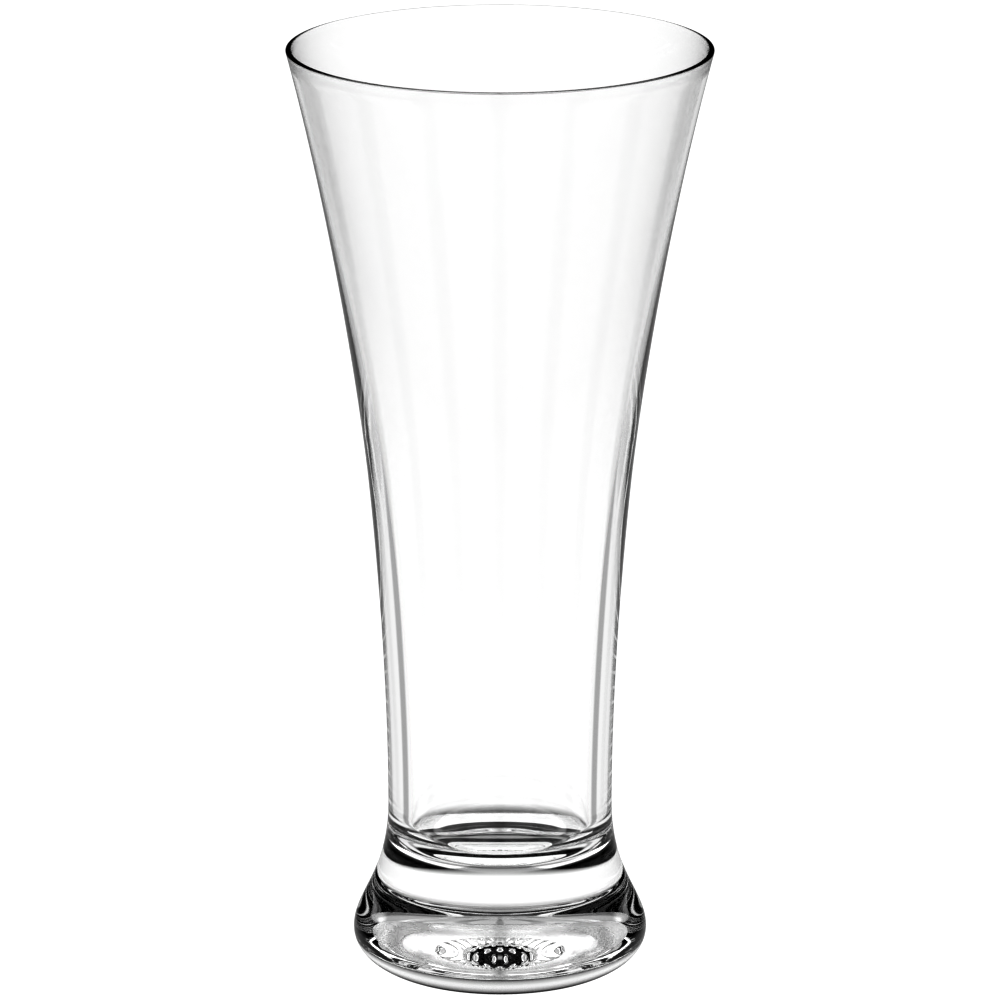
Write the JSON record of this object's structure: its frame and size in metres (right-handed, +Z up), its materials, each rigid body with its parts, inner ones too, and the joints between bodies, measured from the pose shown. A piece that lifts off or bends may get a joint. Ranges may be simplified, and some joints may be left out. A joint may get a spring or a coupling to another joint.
{
  "type": "pint glass",
  "caption": "Tall flared beer glass in clear glass, with a narrow waist, a heavy rounded foot with a shallow hollow underneath, and a thin rounded lip.",
  "frame": {"origin": "centre of the foot, on the surface that the glass stands on", "axes": "+Z up along the glass's own axis; the glass is turned about it, so X and Y are any two level directions"},
  "size_m": [0.0914, 0.0914, 0.205],
  "materials": {
    "clear_glass": "fire-polished clear glass, untinted"
  },
  "bodies": {
    "root": {"glass_body": "clear_glass"}
  },
  "joints": []
}
